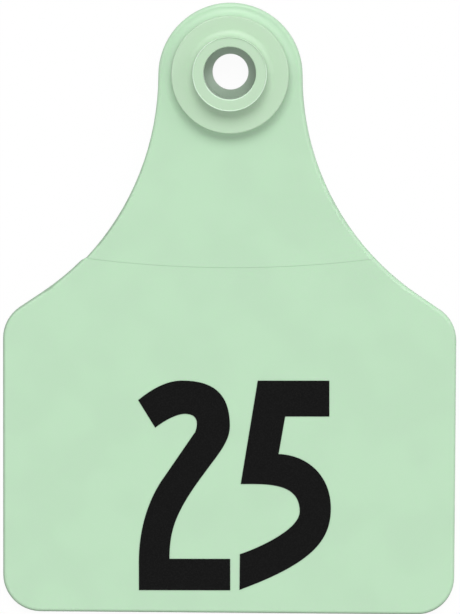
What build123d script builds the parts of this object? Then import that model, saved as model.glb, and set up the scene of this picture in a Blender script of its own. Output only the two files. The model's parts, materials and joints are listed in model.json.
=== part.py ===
from build123d import *
import os
from math import cos, radians, sin, tan

# Front half of a two-part cattle ear tag: one soft moulding and its printed number.
# It lies on its back. Z rises from the printed face and Y runs to the rounded top.
# The origin is the centre of the pin hole on the back face.
# All lengths are millimetres and all angles are degrees.

# Outline of the moulding
tag_length = 102.7
panel_width = 76.0
neck_rim = 2.23
shoulder_run = 6.5
shoulder_slope = 56.0
shoulder_radius = 6.2
bottom_radius = 6.3

# Thickness, and the step from the neck down to the panel
panel_thickness = 1.5
step_height = 0.06
step_slope = 43.7
step_sag = 1.55
front_edge_radius = 0.6

# Mould mismatch on the left, where the neck falls short of the panel's shoulder
neck_shy = 0.3
notch_run = 1.0

# Boss, from its bores outwards
pin_hole_diameter = 6.0
hole_rise = 0.55
shelf_width = 1.35
recess_depth = 4.9
ring_wall = 1.85
ring_height = 2.3
ring_foot = 1.1
ring_drop = 0.13
bead_radius = 0.1
disc_ledge = 3.6
disc_height = 2.1
disc_foot = 1.3
disc_drop = 0.4
lip_radius = 0.2

# Printed number
figure_height = 35.53
figure_width = 15.39
figure_gap = 1.55
ink_thickness = 0.08
number_margin = 3.94
number_shift = 1.11
number_turn = 0.36

# Edges of the printed figures, as shares of a figure's width and height
two_outer_shares = [
    (-0.006, 0.908), (0.268, 0.982), (0.506, 1.0), (0.735, 0.982),
    (0.916, 0.924), (0.977, 0.867), (1.0, 0.787),
]
two_slope_shares = [
    (1.0, 0.787), (0.937, 0.695), (0.66, 0.523), (0.454, 0.38), (0.361, 0.265), (0.337, 0.17)
]
two_back_shares = [
    (0.0, 0.13), (0.05, 0.322), (0.251, 0.523), (0.522, 0.695), (0.613, 0.752), (0.639, 0.79)
]
two_bowl_shares = [(0.639, 0.79), (0.605, 0.823), (0.506, 0.848), (0.294, 0.81), (0.177, 0.779)]
two_foot_share = 0.149
two_stem_share = 0.34
five_outer_shares = [
    (0.432, 0.65), (0.737, 0.609), (0.923, 0.523), (1.0, 0.392), (0.9, 0.237), (0.55, 0.108), (0.0, 0.0)
]
five_inner_shares = [
    (0.004, 0.17), (0.346, 0.237), (0.607, 0.322), (0.66, 0.39), (0.573, 0.466), (0.25, 0.506)
]
five_top_shares = [(0.016, 0.507), (0.2, 1.0), (0.982, 1.0), (0.982, 0.83), (0.5, 0.83), (0.432, 0.65)]

# Radii, heights and planes worked out from them
pin_hole_radius = pin_hole_diameter / 2
recess_radius = pin_hole_radius + shelf_width
ring_radius = recess_radius + ring_wall
disc_radius = ring_radius + disc_ledge
head_radius = disc_radius + neck_rim
neck_thickness = panel_thickness + step_height
disc_top = neck_thickness + disc_height
boss_top = disc_top + ring_height
panel_bottom = head_radius - tag_length
step_turn = radians(step_slope)
shoulder_turn = radians(shoulder_slope)
flank_radius = (panel_width / 2 - head_radius - shoulder_run) / (1 - cos(shoulder_turn))
flank_centre = head_radius + flank_radius
outline_plane = Plane((0, -hole_rise, 0))
number_plane = Plane(
    (number_shift, panel_bottom + number_margin - hole_rise, panel_thickness)
).rotated((0, 0, number_turn))


def flank_point(side, bend, turn):
    """Point on a flank's hollow arc, a turn in radians below the head's widest line."""
    return (side * (flank_centre - bend * cos(turn)), -bend * sin(turn))


def step_line():
    """Shallow arc across the tag where the neck steps down to the panel."""
    left = flank_point(-1, flank_radius + neck_shy, step_turn)
    right = flank_point(1, flank_radius, step_turn)
    ThreePointArc(left, (0, (left[1] + right[1]) / 2 - step_sag), right)


def neck_side(side, shy):
    """Flank of the neck, from the head's widest line down to the step."""
    start = flank_point(side, flank_radius, 0)
    TangentArc(start, flank_point(side, flank_radius + shy, step_turn), tangent=(0, -1))


def panel_side(side, shy, run):
    """Shoulder, long edge and half of the bottom edge, past any notch where the neck ends."""
    start_turn = step_turn + run / flank_radius
    start = flank_point(side, flank_radius, start_turn)
    end = flank_point(side, flank_radius, shoulder_turn)
    edge = side * panel_width / 2
    corner = end[1] - (side * (edge - end[0])) / tan(shoulder_turn)
    if run > 0:
        Line(flank_point(side, flank_radius + shy, step_turn), start)
    ThreePointArc(start, flank_point(side, flank_radius, (start_turn + shoulder_turn) / 2), end)
    Polyline(end, (edge, corner), (edge, panel_bottom), (0, panel_bottom))


def turned_foot(radius, foot, low, high):
    """Half section of the side of one step of the boss: hollow foot and upright wall."""
    RadiusArc((radius + foot, low), (radius, low + foot), foot)
    Line((radius, low + foot), (radius, high))


def boss_section(drop):
    """Upright plane through the boss, a drop below the pin hole's centre line."""
    return Plane.XZ.offset(drop)


def figure_points(shares, left):
    """Points of a printed figure from their shares, from the figure's left edge."""
    return [(left + x * figure_width, y * figure_height) for x, y in shares]


# Neck: the thicker upper part, from the rounded head down to the step
with BuildPart() as neck:
    with BuildSketch(outline_plane):
        with BuildLine():
            CenterArc((0, 0), head_radius, 0, 180)
            neck_side(1, 0)
            neck_side(-1, neck_shy)
            step_line()
        make_face()
    extrude(amount=neck_thickness)
    neck_front = neck.faces().sort_by(Axis.Z)[-1]
    fillet(neck_front.edges().sort_by(Axis.Y)[1:], front_edge_radius)

# Panel: the plate below the step, with a small notch on the left where the neck ends
with BuildPart() as panel:
    with BuildSketch(outline_plane) as panel_outline:
        with BuildLine():
            step_line()
            panel_side(1, 0, 0)
            panel_side(-1, neck_shy, notch_run)
        make_face()
        sides = panel_outline.vertices().group_by(Axis.X)
        shoulders = [sides[i].sort_by(Axis.Y)[-1] for i in (0, -1)]
        fillet(shoulders, shoulder_radius)
        bottom_corners = panel_outline.vertices().group_by(Axis.Y)[0].sort_by(Axis.X)
        fillet([bottom_corners[0], bottom_corners[-1]], bottom_radius)
    extrude(amount=panel_thickness)
    panel_front = panel.faces().sort_by(Axis.Z)[-1]
    fillet(panel_front.edges().sort_by(Axis.Y)[:-2], front_edge_radius)

# Boss: a wide disc on the head, and on it a narrower ring with a fine raised bead on its rim
with BuildPart() as boss:
    with BuildSketch(boss_section(disc_drop)):
        with BuildLine():
            rim = disc_radius + disc_foot
            Polyline((0, disc_top), (0, 0), (rim, 0), (rim, neck_thickness))
            turned_foot(disc_radius, disc_foot, neck_thickness, disc_top - lip_radius)
            lip = (disc_radius, disc_top - lip_radius)
            RadiusArc(lip, (disc_radius - lip_radius, disc_top), -lip_radius)
            Line((disc_radius - lip_radius, disc_top), (0, disc_top))
        make_face()
    revolve(axis=Axis((0, -disc_drop, 0), (0, 0, 1)))
    with BuildSketch(boss_section(ring_drop)):
        with BuildLine():
            rim = ring_radius + ring_foot
            Polyline((0, boss_top), (0, 0), (rim, 0), (rim, disc_top))
            turned_foot(ring_radius, ring_foot, disc_top, boss_top)
            bead_foot = ring_radius - 2 * bead_radius
            bead_top = (ring_radius - bead_radius, boss_top + bead_radius)
            ThreePointArc((ring_radius, boss_top), bead_top, (bead_foot, boss_top))
            Line((bead_foot, boss_top), (0, boss_top))
        make_face()
    revolve(axis=Axis((0, -ring_drop, 0), (0, 0, 1)))

# The moulding: neck, panel and boss as one, bored for the pin of the other half
with BuildPart() as tag_panel:
    add(neck.part)
    add(panel.part)
    add(boss.part)
    with Locations((0, 0, boss_top)):
        CounterBoreHole(pin_hole_radius, recess_radius, recess_depth)
    ring_front = tag_panel.faces().filter_by(Plane.XY).sort_by(Axis.Z)[-1]
    fillet(ring_front.inner_wires()[0].edges(), lip_radius)

# Left figure of the printed number: a 2 with a hooked bowl and a square foot
with BuildPart() as left_numeral:
    with BuildSketch(number_plane):
        with BuildLine():
            left = -figure_width - figure_gap / 2
            outer = Spline(figure_points(two_outer_shares, left), tangents=((1, 1), (0, -1)))
            slope = Spline(figure_points(two_slope_shares, left), tangents=((0, -1), (0, -1)))
            stem, foot, heel = figure_points(
                [(two_stem_share, two_foot_share), (1, two_foot_share), (1, 0)], left
            )
            back = Spline(figure_points(two_back_shares, left), tangents=((0, 1), (0, 1)))
            bowl = Spline(figure_points(two_bowl_shares, left), tangents=((0, 1), (-1, -0.66)))
            Polyline(slope @ 1, stem, foot, heel, (left, 0), back @ 0)
            Line(bowl @ 1, outer @ 0)
        make_face()
    extrude(amount=ink_thickness)

# Right figure of the printed number: a 5 with a slanted stem and a round bowl
with BuildPart() as right_numeral:
    with BuildSketch(number_plane):
        with BuildLine():
            left = figure_gap / 2
            stem = Polyline(figure_points(five_top_shares, left))
            outer = Spline(figure_points(five_outer_shares, left), tangents=((1, 0), (-1, -0.36)))
            inner = Spline(figure_points(five_inner_shares, left), tangents=((1, 0.5), (-1, 0)))
            Line(outer @ 1, inner @ 0)
            Line(inner @ 1, stem @ 0)
        make_face()
    extrude(amount=ink_thickness)

pieces = {"tag_panel": tag_panel, "left_numeral": left_numeral, "right_numeral": right_numeral}
os.makedirs("parts", exist_ok=True)
for name, piece in pieces.items():
    piece.part.label = name
    export_step(piece.part, f"parts/{name}.step")
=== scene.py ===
# %% [markdown]
# # A cattle ear tag, dressed for its picture
# A large ear tag is one soft moulding in pale green polyurethane with a herd number
# printed on it. The moulding's solid form comes ready made and stays as it is. This
# lesson gives it a camera, a table, soft light and the two finishes that the eye meets:
# the satin skin of the moulding and the matt black of the marking ink. The two printed
# figures are drawn again, with smoother strokes than the solid ones have.
#
# Everything is in metres. The tag lies on its back, Z rises from its printed face and
# Y runs to its rounded top, so the camera looks down on it.

# %% Load the solid model
import bpy
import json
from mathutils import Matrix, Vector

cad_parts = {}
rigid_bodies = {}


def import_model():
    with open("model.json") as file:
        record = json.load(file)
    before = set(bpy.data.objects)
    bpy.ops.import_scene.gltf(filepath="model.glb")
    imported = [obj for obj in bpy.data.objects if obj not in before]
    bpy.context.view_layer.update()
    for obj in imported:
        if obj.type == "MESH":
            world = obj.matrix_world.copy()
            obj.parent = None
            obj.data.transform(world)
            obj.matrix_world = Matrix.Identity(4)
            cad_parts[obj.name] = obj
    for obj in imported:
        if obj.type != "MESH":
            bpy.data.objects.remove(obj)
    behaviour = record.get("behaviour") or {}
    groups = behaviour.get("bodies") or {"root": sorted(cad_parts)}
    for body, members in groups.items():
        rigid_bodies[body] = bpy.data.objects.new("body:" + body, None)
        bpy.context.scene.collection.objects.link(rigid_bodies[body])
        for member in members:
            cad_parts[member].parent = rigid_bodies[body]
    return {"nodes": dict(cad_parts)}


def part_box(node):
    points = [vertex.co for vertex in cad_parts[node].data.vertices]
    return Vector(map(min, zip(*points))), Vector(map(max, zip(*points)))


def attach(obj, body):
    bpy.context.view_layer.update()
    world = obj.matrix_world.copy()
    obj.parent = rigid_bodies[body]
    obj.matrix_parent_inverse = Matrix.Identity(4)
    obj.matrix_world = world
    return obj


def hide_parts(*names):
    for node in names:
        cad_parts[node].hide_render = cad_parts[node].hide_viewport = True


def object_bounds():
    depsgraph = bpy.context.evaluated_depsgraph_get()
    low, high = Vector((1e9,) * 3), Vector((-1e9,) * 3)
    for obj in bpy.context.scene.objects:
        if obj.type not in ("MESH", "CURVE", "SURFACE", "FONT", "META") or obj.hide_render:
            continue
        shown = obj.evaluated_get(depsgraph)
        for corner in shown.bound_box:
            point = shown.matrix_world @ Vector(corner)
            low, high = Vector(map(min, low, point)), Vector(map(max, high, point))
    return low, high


for startup_object in list(bpy.data.objects):
    bpy.data.objects.remove(startup_object)
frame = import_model()
cad_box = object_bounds()

import bmesh
import json
from math import cos, pi, radians, sin
from mathutils import Matrix, Vector

MM = 0.001
low, high = cad_box
middle = (low + high) / 2
nodes = frame["nodes"]
print("solid pieces:", sorted(nodes))
print("size in mm:", [round(side / MM, 2) for side in high - low])

# %% [markdown]
# ## The camera
# Flat products are photographed from well above, because a near camera would make the
# raised boss lean outwards. A long lens from 0.8 m does that here. The camera stands a
# little towards the rounded top, so the boss hides a sliver of the face below it, and a
# hair to the right. The picture is upright, so the sensor's width spans its height.

# %% Set up the camera
camera_distance = 0.8
camera_tilt = radians(5.73)
camera_side = radians(1.5)
camera_roll = radians(0.38)
frame_height = 102.98 * MM
aim_right = 0.06 * MM
aim_up = 0.37 * MM
aim = Vector((aim_right, middle.y + aim_up, 0))

camera_data = bpy.data.cameras.new("product_camera")
camera_data.sensor_width = 36
camera_data.lens = camera_data.sensor_width * camera_distance / frame_height
camera_data.clip_start = 0.05
camera_data.clip_end = 20
camera = bpy.data.objects.new("product_camera", camera_data)
turn = Matrix.Rotation(-camera_tilt, 4, "X") @ Matrix.Rotation(camera_side, 4, "Y")
turn = turn @ Matrix.Rotation(camera_roll, 4, "Z")
camera.matrix_world = Matrix.Translation(aim) @ turn @ Matrix.Translation((0, 0, camera_distance))
bpy.context.scene.collection.objects.link(camera)
bpy.context.scene.camera = camera
print("lens in mm:", round(camera_data.lens, 1))

# %% [markdown]
# ## Three small helpers
# Colours are given as sRGB hex values, and shaders count in linear light, so
# one function turns the first into the second. Every material below is a short list of
# nodes. One function adds a node with its settings and its links, and one empties the
# tree that Blender makes by itself, so that a material or a world starts from nothing.

# %% Colour and node helpers
def linear(hex_colour):
    """Linear RGBA of an sRGB hex colour such as "C1E4C3"."""
    shares = [int(hex_colour[i:i + 2], 16) / 255 for i in (0, 2, 4)]
    return [s / 12.92 if s <= 0.04045 else ((s + 0.055) / 1.055) ** 2.4 for s in shares] + [1]


def add_node(tree, kind, settings=None, **inputs):
    """Add a node of a kind. An input takes a value, or a socket that it is linked to.

    An input is given by its name, with underscores for spaces, or as _ and its number.
    """
    node = tree.nodes.new(kind)
    for name, value in (settings or {}).items():
        setattr(node, name, value)
    for name, value in inputs.items():
        key = int(name[1:]) if name[1:].isdigit() else name.replace("_", " ")
        if isinstance(value, bpy.types.NodeSocket):
            tree.links.new(value, node.inputs[key])
        else:
            node.inputs[key].default_value = value
    return node


def empty_tree(owner):
    """The owner's node tree with nothing in it."""
    owner.use_nodes = True
    owner.node_tree.nodes.clear()
    return owner.node_tree


print("mint in linear light:", [round(c, 3) for c in linear("C1E4C3")])

# %% [markdown]
# ## The table
# The tag lies on a table, which is one large square, so that its edges stay out of the
# picture. It lies a hair below the tag's back, because two faces in the same place would
# show through each other.

# %% Make the table
table_half = 3.0
table_gap = 0.05 * MM

table_mesh = bpy.data.meshes.new("table")
corners = [(x * table_half, y * table_half, -table_gap) for x, y in ((-1, -1), (1, -1), (1, 1), (-1, 1))]
table_mesh.from_pydata(corners, [], [(0, 1, 2, 3)])
table = bpy.data.objects.new("table", table_mesh)
bpy.context.scene.collection.objects.link(table)
print("table in metres:", 2 * table_half, "square")

# %% [markdown]
# ## The white laminate
# A catalogue picture has a pure white surround. It would be easy to flood the set with
# light, but that would bleach the tag too. So the table's laminate glows only where it is
# seen, directly or in a reflection. There, most of its white is emission, and a small
# share is a plain white surface that still takes the tag's shadow. To the light that
# bounces about it is a plain grey table, so little is thrown back on the edges, and the
# tag keeps the thin darker outline that a pale thing needs on white.

# %% White laminate of the table
shadow_share = 0.06
bounce_grey = linear("5A5A5A")


def seen_in_picture(tree):
    """Socket that is 1 where the ray comes from the camera, a reflection or a lens."""
    path = add_node(tree, "ShaderNodeLightPath").outputs
    mirror = add_node(tree, "ShaderNodeMath", {"operation": "MAXIMUM"},
                      _0=path["Is Camera Ray"], _1=path["Is Glossy Ray"])
    return add_node(tree, "ShaderNodeMath", {"operation": "MAXIMUM"},
                    _0=mirror.outputs[0], _1=path["Is Transmission Ray"]).outputs[0]


white_laminate = bpy.data.materials.new("white_laminate_table")
tree = empty_tree(white_laminate)
glow = add_node(tree, "ShaderNodeEmission", Color=(1, 1, 1, 1), Strength=1 - shadow_share)
shadowed = add_node(tree, "ShaderNodeBsdfDiffuse", Color=[shadow_share] * 3 + [1])
shown = add_node(tree, "ShaderNodeAddShader", _0=glow.outputs[0], _1=shadowed.outputs[0])
plain = add_node(tree, "ShaderNodeBsdfDiffuse", Color=bounce_grey)
surface = add_node(tree, "ShaderNodeMixShader",
                   _0=seen_in_picture(tree), _1=plain.outputs[0], _2=shown.outputs[0])
add_node(tree, "ShaderNodeOutputMaterial", Surface=surface.outputs[0])
table_mesh.materials.append(white_laminate)
print("table glows with", 1 - shadow_share, "of full white")

# %% [markdown]
# ## The softboxes
# The boss's shadows fall towards the panel, and they are short and soft. The foot of each
# step is bright on the side of the rounded top. So one wide softbox stands halfway up the
# sky beyond the rounded top. A weak, low one, round to the right, takes the dark line off
# the right-hand edges and leaves it on the left. Both stand far off, so that the light is
# as strong at the foot of the tag as at its top. Each is given by its share of the light
# on a level face, and its power follows from that.

# %% Set up the softboxes
def softbox(name, share, height_angle, side_angle, distance, width):
    """Disc lamp turned to the tag, giving a level face a share of full light."""
    data = bpy.data.lights.new(name, "AREA")
    data.shape = "DISK"
    data.size = width
    lamp = bpy.data.objects.new(name, data)
    lean = Matrix.Rotation(-side_angle, 4, "Z") @ Matrix.Rotation(height_angle - radians(90), 4, "X")
    place = Matrix.Translation((middle.x, middle.y, 0))
    lamp.matrix_world = place @ lean @ Matrix.Translation((0, 0, distance))
    # Power at which a level white face looks that share of full white under this lamp
    spread = (width / 2) ** 2 / distance ** 2
    data.energy = share * pi * pi * distance ** 2 * (1 + spread) / sin(height_angle)
    bpy.context.scene.collection.objects.link(lamp)
    print(name, "share", share, "power in W", round(data.energy, 2))


main_share = 0.40
side_share = 0.045
main_height = radians(49)
main_side = 0
main_width = 3.4
side_height = radians(25)
side_side = radians(60)
side_width = 2.6
lamp_distance = 5.2
softbox("main_softbox", main_share, main_height, main_side, lamp_distance, main_width)
softbox("side_softbox", side_share, side_height, side_side, lamp_distance, side_width)

# %% [markdown]
# ## The room
# A pale room all round gives most of the light, which keeps the shadows faint. Its share
# and those of the softboxes add up to one, so a level face comes out in just the colour
# that its material is given. The camera itself sees the room as pure white.

# %% Set up the room
room_share = 0.555

room = bpy.data.worlds.new("white_room")
bpy.context.scene.world = room
tree = empty_tree(room)
fill = add_node(tree, "ShaderNodeBackground", Color=(1, 1, 1, 1), Strength=room_share)
white = add_node(tree, "ShaderNodeBackground", Color=(1, 1, 1, 1), Strength=1)
camera_only = add_node(tree, "ShaderNodeLightPath").outputs["Is Camera Ray"]
backdrop = add_node(tree, "ShaderNodeMixShader",
                    _0=camera_only, _1=fill.outputs[0], _2=white.outputs[0])
add_node(tree, "ShaderNodeOutputWorld", Surface=backdrop.outputs[0])
print("shares of light add up to", round(room_share + main_share + side_share, 3))

# %% [markdown]
# ## Places on the moulding
# Both finishes depend on where a point lies, so these helpers read the object's own
# coordinates, which are metres from the middle of the pin hole on the back face. A mask
# is a value that goes smoothly from zero to one. One helper makes it along a direction,
# such as upwards or towards the panel, and one makes it outwards from an upright axis,
# for the bores and the ring. The last lays a colour over another where masks overlap.

# %% Helpers for masks
UP = (0, 0, 1)
SMOOTH = {"interpolation_type": "SMOOTHSTEP"}


def level_way(degrees):
    """Level direction that many degrees clockwise from the rounded top, seen from above."""
    return (sin(radians(degrees)), cos(radians(degrees)), 0)


def mask_along(tree, place, way, start, end):
    """Mask that goes from zero at the start to one at the end of a run along a direction."""
    reach = add_node(tree, "ShaderNodeVectorMath", {"operation": "DOT_PRODUCT"}, _0=place, _1=way)
    return add_node(tree, "ShaderNodeMapRange", SMOOTH,
                    Value=reach.outputs["Value"], From_Min=start, From_Max=end).outputs[0]


def mask_round(tree, place, drop, start, end):
    """Mask by the distance from the upright axis that lies a drop below the pin hole's."""
    moved = add_node(tree, "ShaderNodeVectorMath", {"operation": "ADD"}, _0=place, _1=(0, drop, 0))
    flat = add_node(tree, "ShaderNodeVectorMath", {"operation": "MULTIPLY"},
                    _0=moved.outputs[0], _1=(1, 1, 0))
    reach = add_node(tree, "ShaderNodeVectorMath", {"operation": "LENGTH"}, _0=flat.outputs[0])
    return add_node(tree, "ShaderNodeMapRange", SMOOTH,
                    Value=reach.outputs["Value"], From_Min=start, From_Max=end).outputs[0]


def lay_over(tree, below, above, *masks):
    """Colour below with the one above laid over it where all the masks are one."""
    overlap = masks[0]
    for mask in masks[1:]:
        overlap = add_node(tree, "ShaderNodeMath", {"operation": "MULTIPLY"},
                           _0=overlap, _1=mask).outputs[0]
    return add_node(tree, "ShaderNodeMix", {"data_type": "RGBA"},
                    _0=overlap, _6=below, _7=above).outputs[2]


print("a quarter turn from the rounded top points", [round(share, 2) for share in level_way(90)])

# %% [markdown]
# ## The colour of the moulding
# Soft polyurethane comes out of a spark-eroded mould with a satin skin. Its colour isn't
# quite even: broad, faint clouds show where the melt met. The boss is thick, so less
# light comes up through it, and it is a shade greyer than the thin plate.

# %% Colour of the moulded polyurethane
mint = linear("C1E4C3")
mint_cloud = linear("BFE1C1")
thick_mint = linear("C2DFC1")
cloud_size = 9 * MM
cloud_detail = 1.0
cloud_start, cloud_end = 0.35, 0.65
neck_top = 1.56 * MM
disc_top = 3.66 * MM

moulded = bpy.data.materials.new("moulded_polyurethane")
tree = empty_tree(moulded)
place = add_node(tree, "ShaderNodeTexCoord").outputs["Object"]
clouds = add_node(tree, "ShaderNodeTexNoise", Vector=place, Scale=1 / cloud_size, Detail=cloud_detail)
cloudy = add_node(tree, "ShaderNodeMapRange", SMOOTH,
                  Value=clouds.outputs[0], From_Min=cloud_start, From_Max=cloud_end).outputs[0]
colour = lay_over(tree, mint, mint_cloud, cloudy)
colour = lay_over(tree, colour, thick_mint, mask_along(tree, place, UP, neck_top, disc_top))
print("moulded skin: clouds", round(cloud_size / MM, 1), "mm across")

# %% [markdown]
# ## Painted shade on the left edge and the foot
# The rounded edge along the left side and the foot is painted darker, as painted shade.
# A mask by height starts where the edge turns down from the flat face. Of the masks for
# the left and for the foot the larger one counts, so that either of them is enough.

# %% Painted shade on the left edge and the foot
# Painted shade: the rounded edge on the left and at the foot is coloured darker in place of shade
painted_edge_shade = linear("A3C0A5")
left_side = level_way(270)
panel_side = level_way(180)
edge_top, edge_turned = 1.5 * MM, 1.25 * MM
left_shade_start, left_shade_end = 12 * MM, 20 * MM
foot_shade_start, foot_shade_end = 88 * MM, 90 * MM

left_shade_mask = mask_along(tree, place, left_side, left_shade_start, left_shade_end)
foot_shade_mask = mask_along(tree, place, panel_side, foot_shade_start, foot_shade_end)
shaded_edge_side = add_node(tree, "ShaderNodeMath", {"operation": "MAXIMUM"}, _0=left_shade_mask, _1=foot_shade_mask).outputs[0]
on_edge = mask_along(tree, place, UP, edge_top, edge_turned)
colour = lay_over(tree, colour, painted_edge_shade, on_edge, shaded_edge_side)
print("edge dulls from", round(edge_top / MM, 2), "to", round(edge_turned / MM, 2), "mm above the table")

# %% [markdown]
# ## Painted shade in the recess
# A core pin formed the recess inside the boss. The recess is painted greyer than the rest,
# and darker on the side towards the panel, as painted shade. Two masks fence the recess
# in, one by the distance from the bore's axis and one by height.

# %% Painted shade in the recess
# Painted shade: the recess is coloured greyer, and darker towards the panel, in place of its shade
recess_painted_grey = linear("CBDACC")
recess_painted_shade = linear("9EB09F")
recess_shade_side = level_way(165)
ring_top = 5.96 * MM
recess_radius = 4.35 * MM
recess_outside, recess_inside = 0.06 * MM, 0.02 * MM
recess_start, recess_full = 0.05 * MM, 0.35 * MM
recess_shade_start, recess_shade_end = -1.2 * MM, 4 * MM

in_bore = mask_round(tree, place, 0, recess_radius + recess_outside, recess_radius - recess_inside)
below_top = mask_along(tree, place, UP, ring_top - recess_start, ring_top - recess_full)
recess_shade_mask = mask_along(tree, place, recess_shade_side, recess_shade_start, recess_shade_end)
recess_shade_colour = lay_over(tree, recess_painted_grey, recess_painted_shade, recess_shade_mask)
colour = lay_over(tree, colour, recess_shade_colour, in_bore, below_top)
print("recess in mm:", round(2 * recess_radius / MM, 2), "wide and open at", round(ring_top / MM, 2))

# %% [markdown]
# ## Painted highlights on the rim and lip
# The ring's rim and the lip of its mouth carry a thin painted highlight, a little paler.
# The rim's leaves out the side of the rounded top, and the lip's lies towards the panel.
# A narrow band round each of them, a thin layer below the top and a direction overlap
# where the highlight is painted.

# %% Painted highlights on the rim and lip
# Painted highlight: thin pale lines on the ring's rim and the mouth's lip stand in for light
painted_highlight_pale = linear("DDF6DF")
unhighlighted_side = level_way(25)
highlight_depth = 0.15 * MM
ring_drop = 0.13 * MM
ring_radius = 6.2 * MM
rim_width = 0.22 * MM
rim_highlight_start, rim_highlight_end = 4.2 * MM, 3.2 * MM

near_top = mask_along(tree, place, UP, ring_top - highlight_depth, ring_top)
on_rim = mask_round(tree, place, ring_drop, ring_radius - rim_width, ring_radius - rim_width / 2)
highlight_side_mask = mask_along(tree, place, unhighlighted_side, rim_highlight_start, rim_highlight_end)
colour = lay_over(tree, colour, painted_highlight_pale, on_rim, near_top, highlight_side_mask)

lip_width = 0.2 * MM
lip_inside, lip_outside = 0.05 * MM, 0.02 * MM
lip_highlight_start, lip_highlight_end = 1.4 * MM, 2.6 * MM

past_mouth = mask_round(tree, place, 0, recess_radius - lip_inside, recess_radius + lip_outside)
on_lip = mask_round(tree, place, 0, recess_radius + lip_width, recess_radius + lip_width / 2)
highlight_side_mask = mask_along(tree, place, panel_side, lip_highlight_start, lip_highlight_end)
colour = lay_over(tree, colour, painted_highlight_pale, past_mouth, on_lip, near_top, highlight_side_mask)
print("ring's rim in mm:", round(ring_radius / MM, 2), "and its height:", round(ring_top / MM, 2))

# %% [markdown]
# ## Grain and shine
# The eroded steel leaves a very fine grain, which breaks the reflections, so no lamp
# shows as a spot. The real grain is too fine for the picture, so it is drawn coarser, a
# little over a pixel wide. A trace of light passes under the skin and comes out beside,
# which softens every edge. The ink follows the same grain, because it lies on it.

# %% Skin of the moulded polyurethane
grain_size = 0.22 * MM
grain_detail = 2.0
grain_depth = 0.02 * MM
grain_strength = 0.08
smoothest, roughest = 0.38, 0.5
polyurethane_ior = 1.5
glow_share = 0.15
glow_depth = 0.6 * MM
glow_colour_shares = (0.6, 1.0, 0.6)


def fine_grain(tree, place):
    """Pattern of the mould's grain, and the way that it tilts the surface."""
    grain = add_node(tree, "ShaderNodeTexNoise", Vector=place, Scale=1 / grain_size, Detail=grain_detail)
    bump = add_node(tree, "ShaderNodeBump",
                    Strength=grain_strength, Distance=grain_depth, Height=grain.outputs[0])
    return grain.outputs[0], bump.outputs[0]


grain, tilt = fine_grain(tree, place)
satin = add_node(tree, "ShaderNodeMapRange", Value=grain, To_Min=smoothest, To_Max=roughest)
skin = add_node(tree, "ShaderNodeBsdfPrincipled",
                Base_Color=colour, Roughness=satin.outputs[0], IOR=polyurethane_ior, Normal=tilt,
                Subsurface_Weight=glow_share, Subsurface_Scale=glow_depth,
                Subsurface_Radius=glow_colour_shares)
add_node(tree, "ShaderNodeOutputMaterial", Surface=skin.outputs[0])
for slot in nodes["tag_panel"].material_slots:
    slot.material = moulded
print("moulded skin: grain", round(grain_size / MM, 2), "mm")

# %% [markdown]
# ## The marking ink
# The number is laid on with a marking ink that bites into the plastic. It dries almost
# flat and nearly black, with hardly any shine. It takes on the grain below it, and its
# blackness is a touch uneven, because the film is thinner over the grain's peaks.

# %% Marking ink
ink_black = linear("0A0A0A")
ink_thin = linear("161616")
thin_start, thin_end = 0.4, 0.7
ink_roughness = 0.6
ink_ior = 1.45
ink_shine_share = 0.12

ink = bpy.data.materials.new("marking_ink")
tree = empty_tree(ink)
place = add_node(tree, "ShaderNodeTexCoord").outputs["Object"]
grain, tilt = fine_grain(tree, place)
thinned = add_node(tree, "ShaderNodeMapRange", SMOOTH,
                   Value=grain, From_Min=thin_start, From_Max=thin_end).outputs[0]
colour = lay_over(tree, ink_black, ink_thin, thinned)
film = add_node(tree, "ShaderNodeBsdfPrincipled", Base_Color=colour, Roughness=ink_roughness,
                IOR=ink_ior, Specular_IOR_Level=ink_shine_share, Normal=tilt)
add_node(tree, "ShaderNodeOutputMaterial", Surface=film.outputs[0])
print("ink in linear light:", [round(c, 4) for c in ink_black])

# %% [markdown]
# ## The points of the figures
# A sign writer draws a figure with few points: its corners, and one on each turn of a
# round stroke. Here each point comes with the handle that leads into it and the one that
# leads out, or None where a straight line meets it. The handles set how full the strokes
# are, which makes the round ones truly even. All are shares of a figure's width and
# height, measured from its lower left corner.

# %% Points and handles
two_shares = [
    ((0, 0.907), None, (0.15, 0.96)),
    ((0.48, 1), (0.31, 1), (0.8, 1)),
    ((1, 0.786), (1, 0.946), (1, 0.71)),
    ((0.72, 0.56), (0.87, 0.65), (0.41, 0.38)),
    ((0.336, 0.15), (0.336, 0.29), None),
    ((1, 0.15), None, None),
    ((1, 0), None, None),
    ((0, 0), None, None),
    ((0, 0.13), None, (0, 0.37)),
    ((0.24, 0.515), (0.23, 0.505), None),
    ((0.62, 0.755), None, None),
    ((0.51, 0.842), (0.71, 0.842), (0.4, 0.842)),
    ((0.185, 0.776), (0.245, 0.797), None),
]
five_shares = [
    ((0.016, 0.508), (0.28, 0.508), None),
    ((0.204, 1), None, None),
    ((0.984, 1), None, None),
    ((0.984, 0.83), None, None),
    ((0.503, 0.83), None, None),
    ((0.43, 0.651), None, (0.73, 0.647)),
    ((1, 0.392), (1, 0.555), (1, 0.235)),
    ((0, 0.002), (0.78, 0.128), None),
    ((0.005, 0.173), None, (0.12, 0.188)),
    ((0.66, 0.378), (0.66, 0.282), (0.66, 0.52)),
]
print("points of the two figures:", len(two_shares), "and", len(five_shares))

# %% [markdown]
# ## From points to a film
# A curve through the points is filled and given the thickness of the film. That is done
# in millimetres, because a fill works badly on very small curves. The fill and the sides
# come apart from each other, so their seams are joined, and then all faces are turned
# outwards.

# %% Curve and mesh of a figure
figure_width = 15.39
figure_height = 35.53
curve_steps = 24
same_point = 0.0005


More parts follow.
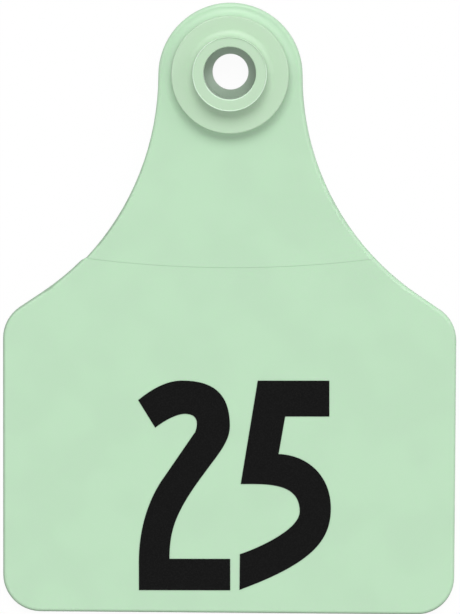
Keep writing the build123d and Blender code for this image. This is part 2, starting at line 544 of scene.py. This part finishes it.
def figure_curve(name, shares, left, thickness):
    """Filled curve of a figure in mm, its left edge that far from the number's middle."""
    drawing = bpy.data.curves.new(name, "CURVE")
    drawing.dimensions = "2D"
    drawing.fill_mode = "BOTH"
    drawing.resolution_u = curve_steps
    drawing.extrude = thickness / 2
    outline = drawing.splines.new("BEZIER")
    outline.bezier_points.add(len(shares) - 1)
    outline.use_cyclic_u = True
    for point, (place, before, after) in zip(outline.bezier_points, shares):
        point.handle_left_type = "FREE"
        point.handle_right_type = "FREE"
        ends = {"co": place, "handle_left": before or place, "handle_right": after or place}
        for end, share in ends.items():
            setattr(point, end, (left + share[0] * figure_width, share[1] * figure_height, 0))
    return drawing


def closed_mesh(name, drawing):
    """Mesh of a filled curve with its seams joined and its faces pointing outwards."""
    sketch = bpy.data.objects.new(name, drawing)
    bpy.context.scene.collection.objects.link(sketch)
    mesh = bpy.data.meshes.new_from_object(sketch)
    bpy.data.objects.remove(sketch)
    shape = bmesh.new()
    shape.from_mesh(mesh)
    bmesh.ops.remove_doubles(shape, verts=shape.verts, dist=same_point)
    bmesh.ops.recalc_face_normals(shape, faces=shape.faces)
    shape.to_mesh(mesh)
    shape.free()
    return mesh


print("figures in mm:", figure_width, "wide and", figure_height, "high")

# %% [markdown]
# ## The printed number
# Each film lies just where the solid figure lies that it stands for. Its mesh is brought
# to metres as it is laid, and its place goes into the mesh. The whole number is turned a
# little, as a hand-fed printer leaves it.

# %% Lay the figures
figure_gap = 1.55
number_margin = 3.94 * MM
number_shift = 1.11 * MM
number_turn = radians(0.36)


def lay_figure(name, shares, left, stands_for):
    """Film of ink in a figure's shape, laid where the solid figure that it stands for lies."""
    film_low, film_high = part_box(stands_for)
    mesh = closed_mesh(name, figure_curve(name, shares, left, (film_high.z - film_low.z) / MM))
    foot = Vector((number_shift, low.y + number_margin, (film_low.z + film_high.z) / 2))
    mesh.transform(Matrix.Translation(foot) @ Matrix.Rotation(number_turn, 4, "Z") @ Matrix.Scale(MM, 4))
    mesh.materials.clear()
    mesh.materials.append(ink)
    piece = bpy.data.objects.new(name, mesh)
    bpy.context.scene.collection.objects.link(piece)
    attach(piece, "root")
    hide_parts(stands_for)
    print(name, "has", len(mesh.polygons), "faces and stands for", stands_for)


lay_figure("printed_two", two_shares, -figure_width - figure_gap / 2, "left_numeral")
lay_figure("printed_five", five_shares, figure_gap / 2, "right_numeral")

# %% [markdown]
# ## Settings
# Colours leave the camera as they are, with no film look laid over them.

# %% Finish
bpy.context.scene.view_settings.view_transform = "Standard"
print("view transform:", bpy.context.scene.view_settings.view_transform)
